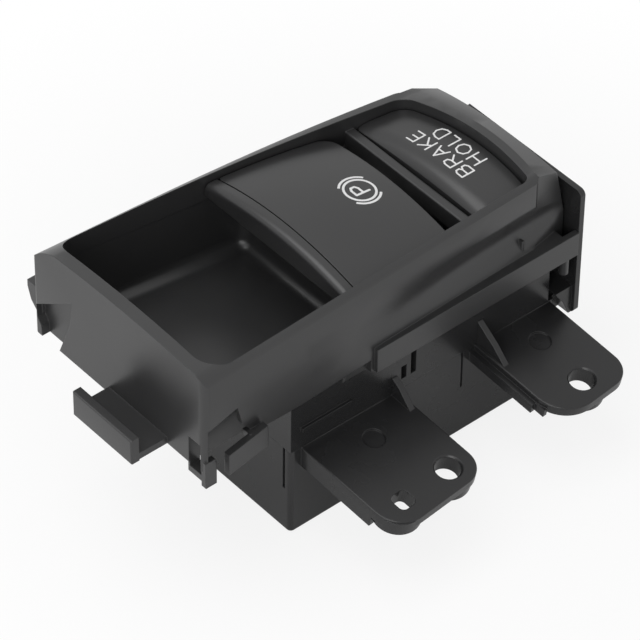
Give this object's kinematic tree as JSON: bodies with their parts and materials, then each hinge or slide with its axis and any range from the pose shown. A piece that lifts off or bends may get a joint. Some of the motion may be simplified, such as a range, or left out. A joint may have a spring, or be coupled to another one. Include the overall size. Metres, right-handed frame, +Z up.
{
  "type": "electric parking brake switch",
  "caption": "Console switch module with a finger pocket, a sprung parking brake lever and a sprung brake hold button above a screwed case with two ears.",
  "frame": {"origin": "centre of the flat base of the lower case", "axes": "+X along the trim from the tab end to the button end, +Y to the side away from the screw ears, +Z up through the lever"},
  "size_m": [0.1276, 0.0936, 0.0722],
  "materials": {
    "trim": "fine satin grain",
    "lever": "smooth satin",
    "case": "satin, moulded",
    "legend": "white, smooth",
    "steel": "bright drawn wire",
    "board": "green lacquer",
    "contacts": "bright",
    "guide": "clear moulded",
    "inner": "natural, smooth",
    "switch": "dull black",
    "lamp": "milky"
  },
  "bodies": {
    "housing": {"bezel": "trim", "mid_case": "case", "lower_case": "case", "case_screws": "steel", "circuit_board": "board", "board_contacts": "contacts", "connector_header": "switch", "terminal_pins": "contacts", "hold_tact_switch": "switch", "park_led": "lamp", "hold_led": "lamp", "park_light_guide": "guide", "hold_light_guide": "guide", "lever_pivot_pin": "steel", "lever_return_spring": "steel", "hold_return_spring": "steel"},
    "lever": {"park_lever": "lever", "lever_front_lip": "lever", "park_symbol": "legend", "lever_arm": "inner"},
    "slider": {"contact_slider": "inner", "slider_wipers": "contacts"},
    "button": {"hold_button": "lever", "hold_legend": "legend", "hold_plunger": "inner"}
  },
  "joints": [
    {"name": "lever_pivot", "type": "hinge", "parent": "housing", "child": "lever", "pos_m": [0.0044, 0, 0.06], "axis": [0, 1, 0], "range_deg": [-3, 7], "stiffness_Nm_per_rad": 1.5, "deforming": ["lever_return_spring"]},
    {"name": "slider_travel", "type": "slide", "parent": "housing", "child": "slider", "axis": [-1, 0, 0], "range_m": [-0.002, 0.0045]},
    {"name": "hold_press", "type": "slide", "parent": "housing", "child": "button", "axis": [0, 0, -1], "range_m": [0, 0.002], "stiffness_N_per_m": 600, "springref_m": -0.001, "deforming": ["hold_return_spring"]}
  ],
  "couplings": [
    {"joint": "slider_travel", "follows": "lever_pivot", "m_per_rad": 0.0343}
  ]
}
